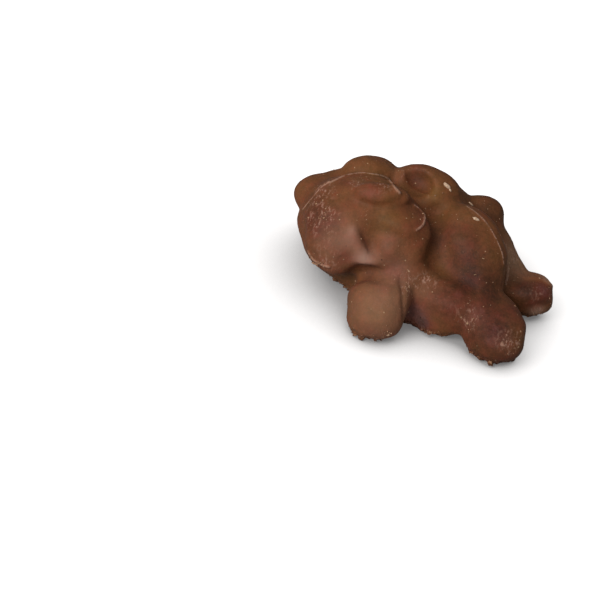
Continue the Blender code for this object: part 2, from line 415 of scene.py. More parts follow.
def after_modifiers(item):
    """A new mesh: the object's, as its modifiers leave it."""
    bpy.context.view_layer.update()
    return bpy.data.meshes.new_from_object(item.evaluated_get(bpy.context.evaluated_depsgraph_get()))


mesh = bmesh.new()
for lobe in LOBES:
    size = Matrix.Diagonal((lobe.length / 2 * MM, lobe.width / 2 * MM, lobe.height / 2 * MM, 1))
    place = Matrix.Translation(Vector(lobe.place) * MM) @ lobe_turn(lobe) @ size
    bmesh.ops.create_icosphere(mesh, subdivisions=4, radius=1.0, matrix=place)
cluster_data = bpy.data.meshes.new("chocolate_cluster")
mesh.to_mesh(cluster_data)
mesh.free()
cluster = bpy.data.objects.new("chocolate_cluster", cluster_data)
bpy.context.scene.collection.objects.link(cluster)

for voxel, rounds in ((COARSE_VOXEL, 4), (FINE_VOXEL, 1)):
    fuse = cluster.modifiers.new("fuse", "REMESH")
    fuse.mode = "VOXEL"
    fuse.voxel_size = voxel * MM
    relax = cluster.modifiers.new("relax", "SMOOTH")
    relax.factor = 0.5
    relax.iterations = 3
    for _ in range(rounds):
        cluster.data = after_modifiers(cluster)
        set_points(cluster.data, draw_onto_coat(mesh_points(cluster.data)))
        fuse.show_viewport = fuse.show_render = False
    cluster.modifiers.clear()
print("the fine skin has", len(cluster.data.polygons), "faces")

# %% [markdown]
# ## Into the frame
#
# The heap's own measurements don't start from the middle of its box, as the frame does. The shift
# comes from comparing the skin's box, above the sheet, with the solid's box. After this every place
# is in the frame, in millimetres.
#
# Small things, such as a chip or a scuff, were found in the photograph by their pixel. A ray from
# the camera through that pixel meets the skin at the place in question, so each thing sits on the
# chocolate, seen from any side. A ray that just misses the outline moves inwards until it meets it.

# %% Shift into the frame, and a way from pixel to skin
points = mesh_points(cluster.data)
above = points[points[:, 2] > 0]
shift = ((box_low + box_high) - (above.min(axis=0) + above.max(axis=0))) / 2
shift[2] = 0
points = points + shift
set_points(cluster.data, points)
skin = BVHTree.FromObject(cluster, bpy.context.evaluated_depsgraph_get())
print("heap to frame:", shift[:2].round(2), "mm")

INWARDS = 0.01


def at_pixel(pixel):
    """Where the ray through a pixel meets the skin: its place in millimetres and its outward normal."""
    aim = Vector(pixel)
    place = None
    while place is None:
        sideways = (aim.x - IMAGE_SIDE / 2) * MM_PER_PIXEL
        downwards = (aim.y - IMAGE_SIDE / 2) * MM_PER_PIXEL
        towards = look * distance + right * sideways - up * downwards
        place, normal, _, _ = skin.ray_cast(eye * MM, towards.normalized())
        aim = aim.lerp(Vector(ANCHOR_PIXEL), INWARDS)
    return np.array(place) / MM, np.array(normal)


# %% [markdown]
# ## Seams and creases
#
# Where one fold of chocolate ran over another, it left a thin raised line: over the brow of the big
# dome, round the dimple, and down the edge of the right shoulder. A fold itself is a wider, softer
# line. Where two folds met and didn't join, they left a crease, so those lines go inwards. Each is a
# few pixels joined by a smooth curve, broken where it passes behind a bulge. Heights and widths are
# in millimetres. The distance from the seams is kept as an attribute too, because the material is
# scuffed along them, in a line that gets thinner as the last number gets larger.

# %% Lines on the coat
Line = namedtuple("Line", "name height width pixels thin", defaults=[1.0])
SEAMS = [
    Line("brow_left", 0.24, 0.34, [(304, 207), (311, 198), (318, 189), (324, 183), (330, 180)], 1.4),
    Line(
        "brow", 0.30, 0.40,
        [(330, 180), (345, 173), (361, 170), (374, 171), (385, 174), (393, 181), (400, 189)],
    ),
    Line("crescent", 0.24, 0.34, [(415, 202), (421, 207), (425, 214), (423, 222), (417, 227)], 1.5),
    Line(
        "shoulder_edge", 0.14, 0.34,
        [(467, 203), (478, 211), (487, 220), (495, 233), (502, 249), (504, 262)], 2.0,
    ),
    Line("behind_shoulder", 0.22, 0.38, [(508, 262), (508, 272), (506, 284)], 1.4),
    Line("low_burr", 0.30, 0.34, [(309, 250), (314, 258), (322, 263), (329, 265)]),
]
FOLDS = [
    Line("dimple_rim", 0.28, 0.60, [(403, 168), (405, 176), (411, 185), (420, 190), (429, 193)]),
    Line("edge_of_the_right_leg", 0.30, 0.60, [(526, 277), (536, 277), (545, 279), (552, 285)]),
]
CREASES = [
    Line("beside_cheek", -0.10, 0.90, [(362, 232), (366, 241), (372, 249), (379, 254), (386, 256)]),
    Line("trough", -0.30, 1.60, [(440, 262), (456, 276), (476, 286), (498, 290)]),
    Line("under_the_right_leg", -0.12, 0.80, [(528, 300), (538, 303), (548, 304)]),
    Line("behind_brow", -0.18, 0.50, [(345, 171), (361, 168), (374, 168), (386, 171)]),
    Line("under_swelling", -0.22, 0.70, [(363, 199), (376, 202), (390, 200), (402, 196)]),
    Line("beside_left_end", -0.35, 0.60, [(401, 276), (403, 290), (404, 306), (404, 322)]),
    Line("web_fold", -0.22, 0.45, [(514, 240), (517, 256), (524, 272)]),
]
LINE_STEPS = 8
LONGEST_STEP = 1.2


def smooth_line(corners, steps):
    """A Catmull-Rom curve through the corners, with some steps between each pair."""
    corners = np.array(corners, float)
    padded = np.vstack((2 * corners[0] - corners[1], corners, 2 * corners[-1] - corners[-2]))
    line = []
    for a, b, c, d in zip(padded, padded[1:], padded[2:], padded[3:]):
        for t in np.arange(steps) / steps:
            square = (a - 2.5 * b + 2 * c - d / 2) * t**2
            cube = (1.5 * (b - c) + (d - a) / 2) * t**3
            line.append(b + (c - a) * t / 2 + square + cube)
    line.append(padded[-2])
    return np.array(line)


line_reach = {}
for line in SEAMS + FOLDS + CREASES:
    route = np.array([at_pixel(pixel)[0] for pixel in smooth_line(line.pixels, LINE_STEPS)])
    steps = np.linalg.norm(np.diff(route, axis=0), axis=1)
    runs = [run for run in np.split(route, np.flatnonzero(steps > LONGEST_STEP) + 1) if len(run) > 1]
    line_reach[line.name] = np.minimum.reduce([line_distance(points, run) for run in runs])
    print(f"{line.name}: {steps[steps < LONGEST_STEP].sum():.1f} mm long, in {len(runs)} runs")

# %% [markdown]
# ## Relief
#
# Three sizes of unevenness are pushed along the normals: soft dents of a few millimetres, a finer
# ripple, and grain, each a length and a height. Then come the seams and creases. Near the sheet the
# coat broke away in crumbs, so its foot is notched inwards. Perlin noise gives the dents, because it
# has no edges of its own. The underside lay on the sheet: it is flat, with the pits of the air
# bubbles caught under it.

# %% Push out the relief
DENT = (3.4, 0.11)
RIPPLE = (1.4, 0.04)
GRAIN = (0.7, 0.018)
FOOT_TOP = 2.6
NOTCH_LENGTHS = (2.6, 1.1)
NOTCH_DEPTH = 1.25
BUBBLE_SPACING = 2.2
BUBBLE_SHARE = 0.22
BUBBLE_DEPTH = 0.35
LEAST_OUTWARD = 0.2
RELIEF_APART = 7.3
NOTCH_APART = 31.0


def noise_at(places, length, offset=0.0):
    """Perlin noise, about -1 to 1, whose lumps are about so many millimetres across."""
    shifted = places / length + offset
    return np.array([noise.noise(Vector(row)) for row in shifted])


def skin_normals(data):
    """A mesh's outward normals, one row for each vertex."""
    flat = np.empty(len(data.vertices) * 3)
    data.vertex_normals.foreach_get("vector", flat)
    return flat.reshape(-1, 3)


normals = skin_normals(cluster.data)
lift = np.zeros(len(points))
for i, (length, height) in enumerate((DENT, RIPPLE, GRAIN)):
    lift += height * noise_at(points, length, RELIEF_APART * i)
for line in SEAMS + FOLDS + CREASES:
    lift += line.height * np.exp(-((line_reach[line.name] / line.width) ** 2))
foot = np.clip(1 - points[:, 2] / FOOT_TOP, 0, 1)
notch = sum(np.abs(noise_at(points, length, NOTCH_APART)) for length in NOTCH_LENGTHS)
outward = normals * np.array((1, 1, 0))
outward /= np.maximum(np.linalg.norm(outward, axis=1), LEAST_OUTWARD)[:, None]
points = points + normals * lift[:, None] - outward * (NOTCH_DEPTH * notch * foot)[:, None]
flat = points[:, 2] <= 0
points[flat, 2] = 0
low, high = points.min(axis=0), points.max(axis=0)
points = box_low + (points - low) * (box_high - box_low) / (high - low)
bubbles = np.array([noise.voronoi(Vector(row))[0][0] for row in points[flat] / BUBBLE_SPACING])
points[flat, 2] += BUBBLE_DEPTH * np.clip(1 - bubbles / BUBBLE_SHARE, 0, 1)
set_points(cluster.data, points)
print("relief from", lift.min().round(2), "to", lift.max().round(2), "mm")

# %% [markdown]
# ## What the material needs to know
#
# The shader can't see the shape, so the shape is written down for it, one number for each vertex: how light
# and how red this part of the coat is, how glossy, how rubbed, and how near a seam. The lightness is partly
# painted light: painted shade in hollows, creases, troughs and under folds, and painted highlights where
# pale film is laid on. Soft spots with a middle and a reach do this best, because they sit on the surface
# from any side. The middle is a pixel, or a place in millimetres. Slow noise carries the tones on over the
# sides that the photograph doesn't show.

# %% Tone and wear
Spot = namedtuple("Spot", "name place reach light red gloss rub", defaults=[0, 0, 0, 0])
SPOTS = [
    Spot("front left peanut end", (-6.5, -16.5, 6.0), 6.4, 0.45, -0.35, -0.9, 0.30),
    Spot("its low toe", (-6.5, -19.5, 2.2), 4.0, 0.05, 0.25, -0.3, 0.35),
    Spot("front right peanut end", (15.0, -17.0, 5.0), 6.8, -1.40, 1.35, 0.0, 0.25),
    Spot("scuffs on its end", (17.2, -20.2, 6.2), 2.2, 0.10, 0.0, -0.2, 1.0),
    Spot("olive side of it", (522, 335), 2.6, 0.20, -0.9, 0.1, 0.20),
    Spot("swelling under the brow", (375, 190), 3.6, 0.00, 1.20, 0.6, 0.25),
    Spot("olive swelling", (383, 222), 4.4, -0.05, -0.80, 0.0, 0.10),
    Spot("cheek", (337, 237), 4.6, -0.30, 0.10, -0.5, 0.15),
    # Painted highlight: the cheek's ridge, a streak on it and the lip are lightened and laid with pale film.
    Spot("ridge of the cheek, with a painted highlight", (353, 240), 2.6, 0.40, 0.50, -0.6, 0.05),
    Spot("painted highlight streak on that ridge", (353, 229), 1.3, 0.60, 0.40, -1.2, 0.00),
    Spot("painted highlight on the lip", (364, 259), 2.3, 1.50, 0.60, -2.6, 0.00),
    Spot("shade under the lip", (368, 274), 1.8, -0.60, 0.30, 0.0, 0.00),
    Spot("nub", (386, 243), 2.4, 0.10, 0.30, -0.4, 0.10),
    Spot("shelf under the nub", (397, 268), 3.4, -0.35, 0.25, -0.4, 0.20),
    Spot("left shoulder", (314, 196), 4.8, -0.55, 0.35, 0.1, 0.45),
    # Painted shade on the left of the dome, where it turns away from the light.
    Spot("painted shade on the left of the dome", (314, 224), 4.4, -0.55, 1.40, 0.0, 0.40),
    Spot("scuffs on the left shoulder", (322, 186), 2.6, 0.20, 0.1, -0.2, 1.3),
    Spot("top of the brow", (372, 166), 5.0, 0.25, -0.90, 0.0, 0.25),
    Spot("behind the brow", (396, 168), 2.6, 0.40, -0.60, -0.2, 0.10),
    Spot("scuffs under the brow", (359, 180), 2.2, 0.30, 0.0, -0.3, 1.2),
    Spot("more scuffs under the brow", (386, 180), 2.0, 0.30, 0.0, -0.3, 1.2),
    Spot("crown beside the dimple", (-0.5, 7.0, 21.0), 5.4, -0.10, -0.20, 0.0, 0.15),
    # Painted shade inside the dimple; its lit olive edge is painted light.
    Spot("dimple", (418, 179), 2.8, -0.60, 0.90, 0.1, 0.00),
    Spot("lit olive edge of the dimple", (431, 192), 2.4, 0.70, -0.4, 0.2, 0.10),
    Spot("knob", (11.0, 9.5, 15.8), 5.4, -0.75, -0.50, 0.0, 0.10),
    Spot("top of the right shoulder", (470, 208), 3.4, 0.10, -0.40, 0.1, 0.30),
    Spot("right shoulder", (466, 240), 5.0, -0.60, 1.00, 0.1, 0.15),
    # Painted shade at the foot of the right shoulder, in the trough and in the valley.
    Spot("painted shade at the foot of the right shoulder", (468, 278), 5.0, -1.30, 0.90, 0.0, 0.05),
    Spot("trough", (496, 288), 3.4, -0.80, 0.30, 0.0, 0.05),
    Spot("painted shade in the valley", (435, 238), 3.6, -0.55, 0.60, 0.0, 0.00),
    Spot("dark edge of the swelling", (410, 235), 3.0, -0.25, 0.35, 0.0, 0.10),
    Spot("front middle", (450, 303), 5.2, -0.45, 1.30, 0.0, 0.25),
    Spot("under the front middle", (418, 314), 3.6, -0.15, 2.20, -0.5, 0.10),
    # Painted shade on the low strip under the front middle.
    Spot("painted shade on the strip below it", (423, 323), 1.6, -1.30, 1.80, 0.0, 0.00),
    Spot("right leg", (538, 296), 4.4, -0.60, 1.30, 0.1, 0.35),
    Spot("end of the right leg", (547, 290), 2.2, 0.35, 1.40, 0.9, 0.30),
    # The rim of the right leg is worn and crumbly, and partly a painted highlight.
    Spot("rim of the right leg", (549, 279), 1.6, 1.00, -1.2, -2.2, 0.90),
    Spot("torn edge under the right leg", (537, 312), 1.8, 1.20, -1.2, -2.2, 0.90),
    # Painted shade at the root of the right leg.
    Spot("painted shade at the root of the right leg", (524, 289), 3.0, -1.30, 0.10, 0.1, 0.05),
    # The web behind the shoulder is scuffed, and its pale olive tone is a painted sheen.
    Spot("scuffed web behind the shoulder, with a painted sheen", (514, 258), 4.4, 1.40, -2.00, -1.6, 0.70),
    Spot("scuffs low on the dome", (326, 216), 3.0, 0.05, 0.40, 0.0, 0.60),
    Spot("torn edge of the dome", (328, 262), 3.6, 0.50, 0.50, -0.4, 0.60),
    Spot("crumbs beside the left end", (408, 286), 2.4, 0.00, 0.00, -0.2, 0.90),
    Spot("crumbs on the front", (427, 281), 2.4, 0.05, 0.00, -0.2, 0.80),
    Spot("crumbs over the right end", (469, 318), 2.2, 0.00, 0.00, -0.2, 0.80),
]
TONE_LENGTHS = (9.0, 5.0, 2.6)
TONE_APART = 17.0
SLOW_LIGHT = 0.30
SLOW_RED = (0.8, 0.7)
HOLLOW_PAINTED_SHADE = 1.2
FOOT_DARKER = 0.15
CREST = (0.10, 0.22, 0.8)
SPOT_FALL = 1.4
CURVE_REACH = 1.4


def spot_sum(field):
    """One field of all the spots, summed at each vertex, fading with the distance from each middle."""
    total = np.zeros(len(points))
    for spot in SPOTS:
        place = at_pixel(spot.place)[0] if len(spot.place) == 2 else np.array(spot.place)
        near = np.linalg.norm(points - place, axis=1) / spot.reach
        total += getattr(spot, field) * np.exp(-(near**2) * SPOT_FALL)
    return total


def smoothed_points(rounds):
    """The skin's vertices after so many rounds of smoothing."""
    soften = cluster.modifiers.new("soften", "SMOOTH")
    soften.factor = 0.5
    soften.iterations = rounds
    softened = mesh_points(after_modifiers(cluster))
    cluster.modifiers.clear()
    return softened


def write_attribute(name, values):
    """Keeps one number for each vertex under a name that a material can read."""
    made = cluster.data.attributes.new(name, "FLOAT", "POINT")
    made.data.foreach_set("value", np.ascontiguousarray(values, dtype=np.float32))


normals = skin_normals(cluster.data)
softened = smoothed_points(int(2 * (CURVE_REACH / FINE_VOXEL) ** 2))
hollow = ((softened - points) * normals).sum(axis=1)
slow = [noise_at(points, length, TONE_APART) for length in TONE_LENGTHS]
foot = np.clip(1 - points[:, 2] / FOOT_TOP, 0, 1)
light = spot_sum("light") + SLOW_LIGHT * slow[1]
# Painted shade: the lightness is lowered in the hollows, and it is lower towards the bottom.
light = light - HOLLOW_PAINTED_SHADE * np.clip(hollow, 0, 0.5) - FOOT_DARKER * foot
red = spot_sum("red") + SLOW_RED[0] * slow[0] + SLOW_RED[1] * slow[2]
rub = np.maximum(spot_sum("rub"), np.clip((-hollow - CREST[0]) / CREST[1], 0, CREST[2]))
rub = np.maximum(rub, foot)
for name, values in (("light", light), ("red", red), ("gloss", spot_sum("gloss")), ("rub", rub)):
    write_attribute(name, values)
write_attribute("seam", np.minimum.reduce([line_reach[line.name] * line.thin for line in SEAMS]))
print("hollows to", hollow.max().round(2), "mm, crests to", (-hollow.min()).round(2), "mm")

# %% [markdown]
# ## Milk chocolate, poured by hand and set
#
# Set milk chocolate is cocoa fat, milk and sugar: a satin surface, a little light going in and out,
# and a brown that wanders between red and olive as the coat gets thicker. The patterns are noise
# fields measured in real millimetres: cloudy mottling, the crumple of a coat that set in folds, the
# smears where it was rubbed, drawn out upright by a Mapping node, the streaks that break up a pale
# seam, and grain. Each has a length, a detail and a roughness. Grain is drawn coarser than it is,
# or it would only flicker.

# %% Patterns of the coat
PATTERNS = {
    "mottle": (1.7, 4.0, 0.62),
    "crumple": (1.1, 4.0, 0.58),
    "smear": (0.42, 3.0, 0.62),
    "streak": (1.3, 4.0, 0.72),
    "grain": (0.4, 3.0, 0.60),
}
FIELDS = ("light", "red", "gloss", "rub", "seam")
SMEAR_TURN = (0.3, 0.2, 0.0)
SMEAR_STRETCH = (1.0, 0.6, 0.28)


def per_mm(length):
    """A texture's scale, in its metres, for a pattern that repeats about every so many millimetres."""
    return 1 / (length * MM)


chocolate, tree = new_material("milk_chocolate_poured_and_set")
where = add(tree, "ShaderNodeTexCoord").outputs["Object"]
fields = {name: add(tree, "ShaderNodeAttribute", attribute_name=name).outputs["Fac"] for name in FIELDS}
drawn_out = {"Vector": where, "Rotation": SMEAR_TURN, "Scale": SMEAR_STRETCH}
upright = add(tree, "ShaderNodeMapping", drawn_out)
patterns = {}
for name, (length, detail, rough) in PATTERNS.items():
    way = upright if name == "smear" else where
    shape = {"Vector": way, "Scale": per_mm(length), "Detail": detail, "Roughness": rough}
    patterns[name] = add(tree, "ShaderNodeTexNoise", shape).outputs["Fac"]
print("patterns:", ", ".join(f"{name} {row[0]} mm" for name, row in PATTERNS.items()))

# %% [markdown]
# ## Brown, from olive to red
#
# Two things decide the brown. One number runs along a ramp from olive, where the coat is thin over a pale
# nut, to purple red, where it is thick. Another makes it lighter or darker. A matt part has a dull film of
# bloom on it, so the less gloss there is, the more grey tan is laid over the brown. Where this pale film is
# laid on most thickly, on the lip, the streak on the cheek's ridge and the rim of the right leg, it is a
# painted highlight, and on the web behind the right shoulder a painted sheen.

# %% Base brown
MOTTLE_HUE = 2.2
HUE_SPREAD = 0.25
HUE_START = 0.15
MOTTLE_SHADE = 1.8
GRAIN_SHADE = 1.1
DARKEST = 0.34
LIGHTEST = 1.84
BLOOM_AND_PAINTED_HIGHLIGHT_MOST = 0.90

mottle, grain = patterns["mottle"], patterns["grain"]
mottled = add(tree, "ShaderNodeMath", {0: mottle, 1: MOTTLE_HUE, 2: fields["red"]}, operation="MULTIPLY_ADD")
along_ramp = add(tree, "ShaderNodeMath", {0: mottled, 1: HUE_SPREAD, 2: HUE_START}, operation="MULTIPLY_ADD")
hue = add(
    tree,
    "ShaderNodeValToRGB",
    {"Fac": along_ramp},
    stops=[
        (0.0, linear("#583b18")),
        (0.3, linear("#5c381b")),
        (0.5, linear("#5e351c")),
        (0.75, linear("#602e1c")),
        (1.0, linear("#5c312c")),
    ],
)
cloudy = {0: mottle, 1: MOTTLE_SHADE, 2: fields["light"]}
shade = add(tree, "ShaderNodeMath", cloudy, operation="MULTIPLY_ADD")
shade = add(tree, "ShaderNodeMath", {0: grain, 1: GRAIN_SHADE, 2: shade}, operation="MULTIPLY_ADD")
shades = {"From Min": -0.05, "From Max": 2.75, "To Min": DARKEST, "To Max": LIGHTEST}
strength = add(tree, "ShaderNodeMapRange", {"Value": shade, **shades})
grey = add(tree, "ShaderNodeCombineColor", {0: strength, 1: strength, 2: strength})
brown = add(tree, "ShaderNodeMix", {0: 1.0, 6: hue, 7: grey}, data_type="RGBA", blend_type="MULTIPLY")
# The pale film is bloom, and at its strongest a painted highlight or painted sheen.
bloom_and_painted_highlight_film = add(tree, "ShaderNodeMapRange", {"Value": fields["gloss"], "From Max": -3.0, "To Max": BLOOM_AND_PAINTED_HIGHLIGHT_MOST})
brown = add(tree, "ShaderNodeMix", {0: bloom_and_painted_highlight_film, 6: brown.outputs[2], 7: linear("#9a7a6a")}, data_type="RGBA")

# %% [markdown]
# ## Scuffs, specks and pinholes
#
# Loose sweets rub against each other. Crests, seams and the foot are scuffed pale, in smears that break up
# along the noise. Sugar bloom and dust leave round pale specks, and small air bubbles open as pinholes,
# whose dark colour is painted shade inside the hole. Both come from Voronoi cells: one dot for some cells,
# none for the others.

# %% Wear over the brown
SPECK_SPACING = 1.2
PIT_SPACING = 2.6
SCUFF_COVER = 0.46
SPECK_COVER = 0.40
PIT_PAINTED_SHADE_COVER = 0.80
THRESHOLDS = {
    "rubbed": (fields["rub"], 0.10, 0.90, "SMOOTHSTEP"),
    "patchy": (patterns["mottle"], 0.42, 0.54, "LINEAR"),
    "smear": (patterns["smear"], 0.50, 0.62, "SMOOTHSTEP"),
    "on_seam": (fields["seam"], 0.46, 0.18, "SMOOTHSTEP"),
    "broken": (patterns["streak"], 0.36, 0.50, "LINEAR"),
}

wear = {}
for name, (value, none, full, way) in THRESHOLDS.items():
    span = {"Value": value, "From Min": none, "From Max": full}
    wear[name] = add(tree, "ShaderNodeMapRange", span, interpolation_type=way)
worn = add(tree, "ShaderNodeMath", {0: wear["rubbed"], 1: wear["patchy"]}, operation="MULTIPLY")
worn = add(tree, "ShaderNodeMath", {0: worn, 1: wear["smear"]}, operation="MULTIPLY")
seam_line = add(tree, "ShaderNodeMath", {0: wear["on_seam"], 1: wear["broken"]}, operation="MULTIPLY")
scuff = add(tree, "ShaderNodeMath", {0: worn, 1: seam_line}, operation="MAXIMUM")
cover = add(tree, "ShaderNodeMath", {0: scuff, 1: SCUFF_COVER}, operation="MULTIPLY")
scuffed = add(tree, "ShaderNodeMix", {0: cover, 6: brown.outputs[2], 7: linear("#b48f7b")}, data_type="RGBA")

cells = add(tree, "ShaderNodeTexVoronoi", {"Vector": where, "Scale": per_mm(SPECK_SPACING)})
pick = add(tree, "ShaderNodeSeparateColor", {0: cells.outputs["Color"]}).outputs[0]
likely = add(tree, "ShaderNodeMath", {0: fields["rub"], 1: 0.30, 2: pick}, operation="MULTIPLY_ADD")
sizes = {"From Min": 0.70, "From Max": 1.1, "To Max": 0.17}
speck_size = add(tree, "ShaderNodeMapRange", {"Value": likely, **sizes})
speck = add(tree, "ShaderNodeMath", {0: cells.outputs["Distance"], 1: speck_size}, operation="LESS_THAN")
cover = add(tree, "ShaderNodeMath", {0: speck, 1: SPECK_COVER}, operation="MULTIPLY")
layers = {0: cover, 6: scuffed.outputs[2], 7: linear("#c4a27e")}
specked = add(tree, "ShaderNodeMix", layers, data_type="RGBA")

# Each pinhole's dark colour is painted shade inside the hole.
bubbles = add(tree, "ShaderNodeTexVoronoi", {"Vector": where, "Scale": per_mm(PIT_SPACING)})
pick = add(tree, "ShaderNodeSeparateColor", {0: bubbles.outputs["Color"]}).outputs[1]
pit_size = add(tree, "ShaderNodeMapRange", {"Value": pick, "From Min": 0.6, "To Max": 0.07})
pit = add(tree, "ShaderNodeMath", {0: bubbles.outputs["Distance"], 1: pit_size}, operation="LESS_THAN")
cover = add(tree, "ShaderNodeMath", {0: pit, 1: PIT_PAINTED_SHADE_COVER}, operation="MULTIPLY")
layers = {0: cover, 6: specked.outputs[2], 7: linear("#1f0d07")}
coat_colour = add(tree, "ShaderNodeMix", layers, data_type="RGBA")

# %% [markdown]
# ## Satin sheen and fine relief
#
# The sheen is uneven: the coat shines where it set against air in one smooth bulge, and is dull
# where it was touched. Roughness follows the gloss field, a little noise and the scuffs. Three bumps,
# from grain to crumple to the raised edges of scuffs, break the highlights up as the photograph
# shows them. A little scattering under the surface keeps the shaded sides warm.

# %% Surface of the coat
COAT_IOR = 1.46
COAT_SPECULAR = 0.22
COAT_ROUGHNESS = 0.58
GLOSS_SMOOTHER = -0.15
CRUMPLE_ROUGHER = 0.20
SCUFF_ROUGHER = 0.20

dull = COAT_ROUGHNESS
for value, factor in (
    (fields["gloss"], GLOSS_SMOOTHER), (patterns["crumple"], CRUMPLE_ROUGHER), (scuff, SCUFF_ROUGHER)
):
    dull = add(tree, "ShaderNodeMath", {0: value, 1: factor, 2: dull}, operation="MULTIPLY_ADD")
dull.use_clamp = True

edges = add(tree, "ShaderNodeMath", {0: scuff, 1: speck}, operation="ADD")
edges = add(tree, "ShaderNodeMath", {0: edges, 1: pit}, operation="SUBTRACT")
surface = None
for height, depth in ((patterns["grain"], 0.03), (patterns["crumple"], 0.15), (edges, 0.05)):
    shape = {"Strength": 1.0, "Distance": depth * MM, "Height": height}
    if surface:
        shape["Normal"] = surface
    surface = add(tree, "ShaderNodeBump", shape)
coat = add(
    tree,
    "ShaderNodeBsdfPrincipled",
    {
        "Base Color": coat_colour.outputs[2],
        "Roughness": dull,
        "Normal": surface,
        "IOR": COAT_IOR,
        "Specular IOR Level": COAT_SPECULAR,
        "Subsurface Weight": 0.06,
        "Subsurface Radius": (1.0, 0.4, 0.2),
        "Subsurface Scale": 0.5 * MM,
    },
)
add(tree, "ShaderNodeOutputMaterial", {"Surface": coat})

cluster.data.materials.clear()
cluster.data.materials.append(chocolate)
cluster.data.shade_smooth()
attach(cluster, BODY)
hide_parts(NODE)
print("the coat has", len(tree.nodes), "nodes")

# %% [markdown]
# ## Chips of nut
#
# A few chips of roasted nut stick to the coat, two of them plain to see on the crown and on the right
# shoulder. A chip is a broken flake: longer than wide, flat, with a rough edge. An icosphere pressed
# flat and roughened with noise makes one. It lies on the skin, turned as in the photograph.

# %% Nut chips
Chip = namedtuple("Chip", "name pixel length width thick turn")
CHIPS = [
    Chip("on the crown", (447, 186), 1.75, 0.80, 0.75, 36),
    Chip("behind the chip on the crown", (450, 190), 0.80, 0.45, 0.40, 60),
    Chip("on the shoulder", (476, 219), 1.35, 0.65, 0.55, 24),
    Chip("at the top of the shoulder", (471, 204), 1.30, 0.50, 0.35, 12),
    Chip("in the notch of the left foot", (388, 335), 0.65, 0.35, 0.35, 8),
]
CHIP_ROUGH = 0.22
COARSE_BREAK = 1.6
FINE_BREAK = 3.7
FINE_SHARE = 0.6


def standing(place, normal, along):
    """Where a small thing stands on the skin: its Z is the normal, its X lies as near as can be along."""
    z = Vector(normal)
    x = (Vector(along) - z * z.dot(Vector(along))).normalized()
    return Matrix.Translation(Vector(place) * MM) @ Matrix((x, z.cross(x), z)).transposed().to_4x4()


def roughened(corners, place, size, rough, seed):
    """Presses the unit ball of these corners to a size and breaks its form up, then puts it in place."""
    for corner in corners:
        push = 1 + rough * noise.noise(corner.co * COARSE_BREAK + Vector((seed, 0, 0)))
        push += rough * FINE_SHARE * noise.noise(corner.co * FINE_BREAK + Vector((0, seed, 0)))
        corner.co = place @ Vector([c * push * s / 2 * MM for c, s in zip(corner.co, size)])


def finish_piece(mesh, name, material):
    """Turns a bmesh of small things into a piece that rides on the cluster, inside the solid's box."""
    data = bpy.data.meshes.new(name)
    mesh.to_mesh(data)
    mesh.free()
    set_points(data, np.clip(mesh_points(data), box_low, box_high))
    data.materials.append(material)
    piece = bpy.data.objects.new(name, data)
    bpy.context.scene.collection.objects.link(piece)
    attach(piece, BODY)
    print(name, "has", len(data.polygons), "faces")
    return piece


skin = BVHTree.FromObject(cluster, bpy.context.evaluated_depsgraph_get())
nut, tree = new_material("roasted_peanut_broken_flake")
where = add(tree, "ShaderNodeTexCoord").outputs["Object"]
cloud = add(tree, "ShaderNodeTexNoise", {"Vector": where, "Scale": per_mm(0.6), "Detail": 3.0})
toast = add(
    tree,
    "ShaderNodeValToRGB",
    {"Fac": cloud.outputs["Fac"]},
    stops=[(0.35, linear("#9a7556")), (0.65, linear("#cbae92"))],
)
crumble = add(tree, "ShaderNodeBump", {"Distance": 0.06 * MM, "Height": cloud.outputs["Fac"]})
flake = add(
    tree,
    "ShaderNodeBsdfPrincipled",
    {"Base Color": toast, "Roughness": 0.62, "Normal": crumble, "IOR": 1.46, "Subsurface Weight": 0.1},
)
add(tree, "ShaderNodeOutputMaterial", {"Surface": flake})

mesh = bmesh.new()
for i, chip in enumerate(CHIPS):
    place, normal = at_pixel(chip.pixel)
    turn = math.radians(chip.turn)
    along = right * math.cos(turn) - up * math.sin(turn)
    ball = bmesh.ops.create_icosphere(mesh, subdivisions=3, radius=1.0)
    size = (chip.length, chip.width, chip.thick)
    roughened(ball["verts"], standing(place, normal, along), size, CHIP_ROUGH, 5.0 * i + 3)
chips = finish_piece(mesh, "nut_chips", nut)
chips.data.shade_smooth()

# %% [markdown]
# ## Crumbs
#
# Crumbs of chocolate and nut lie on the coat: thick along the rubbed folds and the foot, sparse on
# all other sides. A crumb is under half a millimetre, so a ball of 20 faces will do. The thick
# patches were placed by pixel, and the sparse ones fall on vertices drawn by a seeded hand.

# %% Crumbs
Patch = namedtuple("Patch", "name pixel spread count")
PATCHES = [
    Patch("beside the left end", (408, 286), (4, 14), 30),
    Patch("on the front", (427, 281), (10, 10), 24),
    Patch("over the right end", (470, 322), (8, 8), 18),
    Patch("above them", (469, 301), (5, 5), 10),
    Patch("on the right end", (510, 347), (8, 9), 18),
    Patch("at the end of the right leg", (551, 302), (3, 5), 14),
    Patch("on the rim of the right leg", (550, 282), (6, 6), 18),
    Patch("low on the right leg", (537, 314), (9, 4), 18),
    Patch("left of the dome", (309, 221), (4, 7), 16),
    Patch("low on the dome", (326, 216), (6, 10), 16),
    Patch("in the notch of the left foot", (387, 335), (6, 3), 24),
    Patch("under the brow", (358, 180), (8, 5), 14),
    Patch("beside the crescent", (424, 214), (6, 10), 12),
    Patch("in the middle", (366, 217), (2, 9), 12),
    Patch("at the torn edge", (320, 262), (8, 6), 20),
    Patch("on the web", (513, 262), (6, 22), 14),
]
SPARSE = 380
LOWEST_CRUMB = 0.4
CRUMB_LEAST = 0.09
CRUMB_MOST = 0.32
CRUMB_ROUGH = 0.5
SEEDS = 90

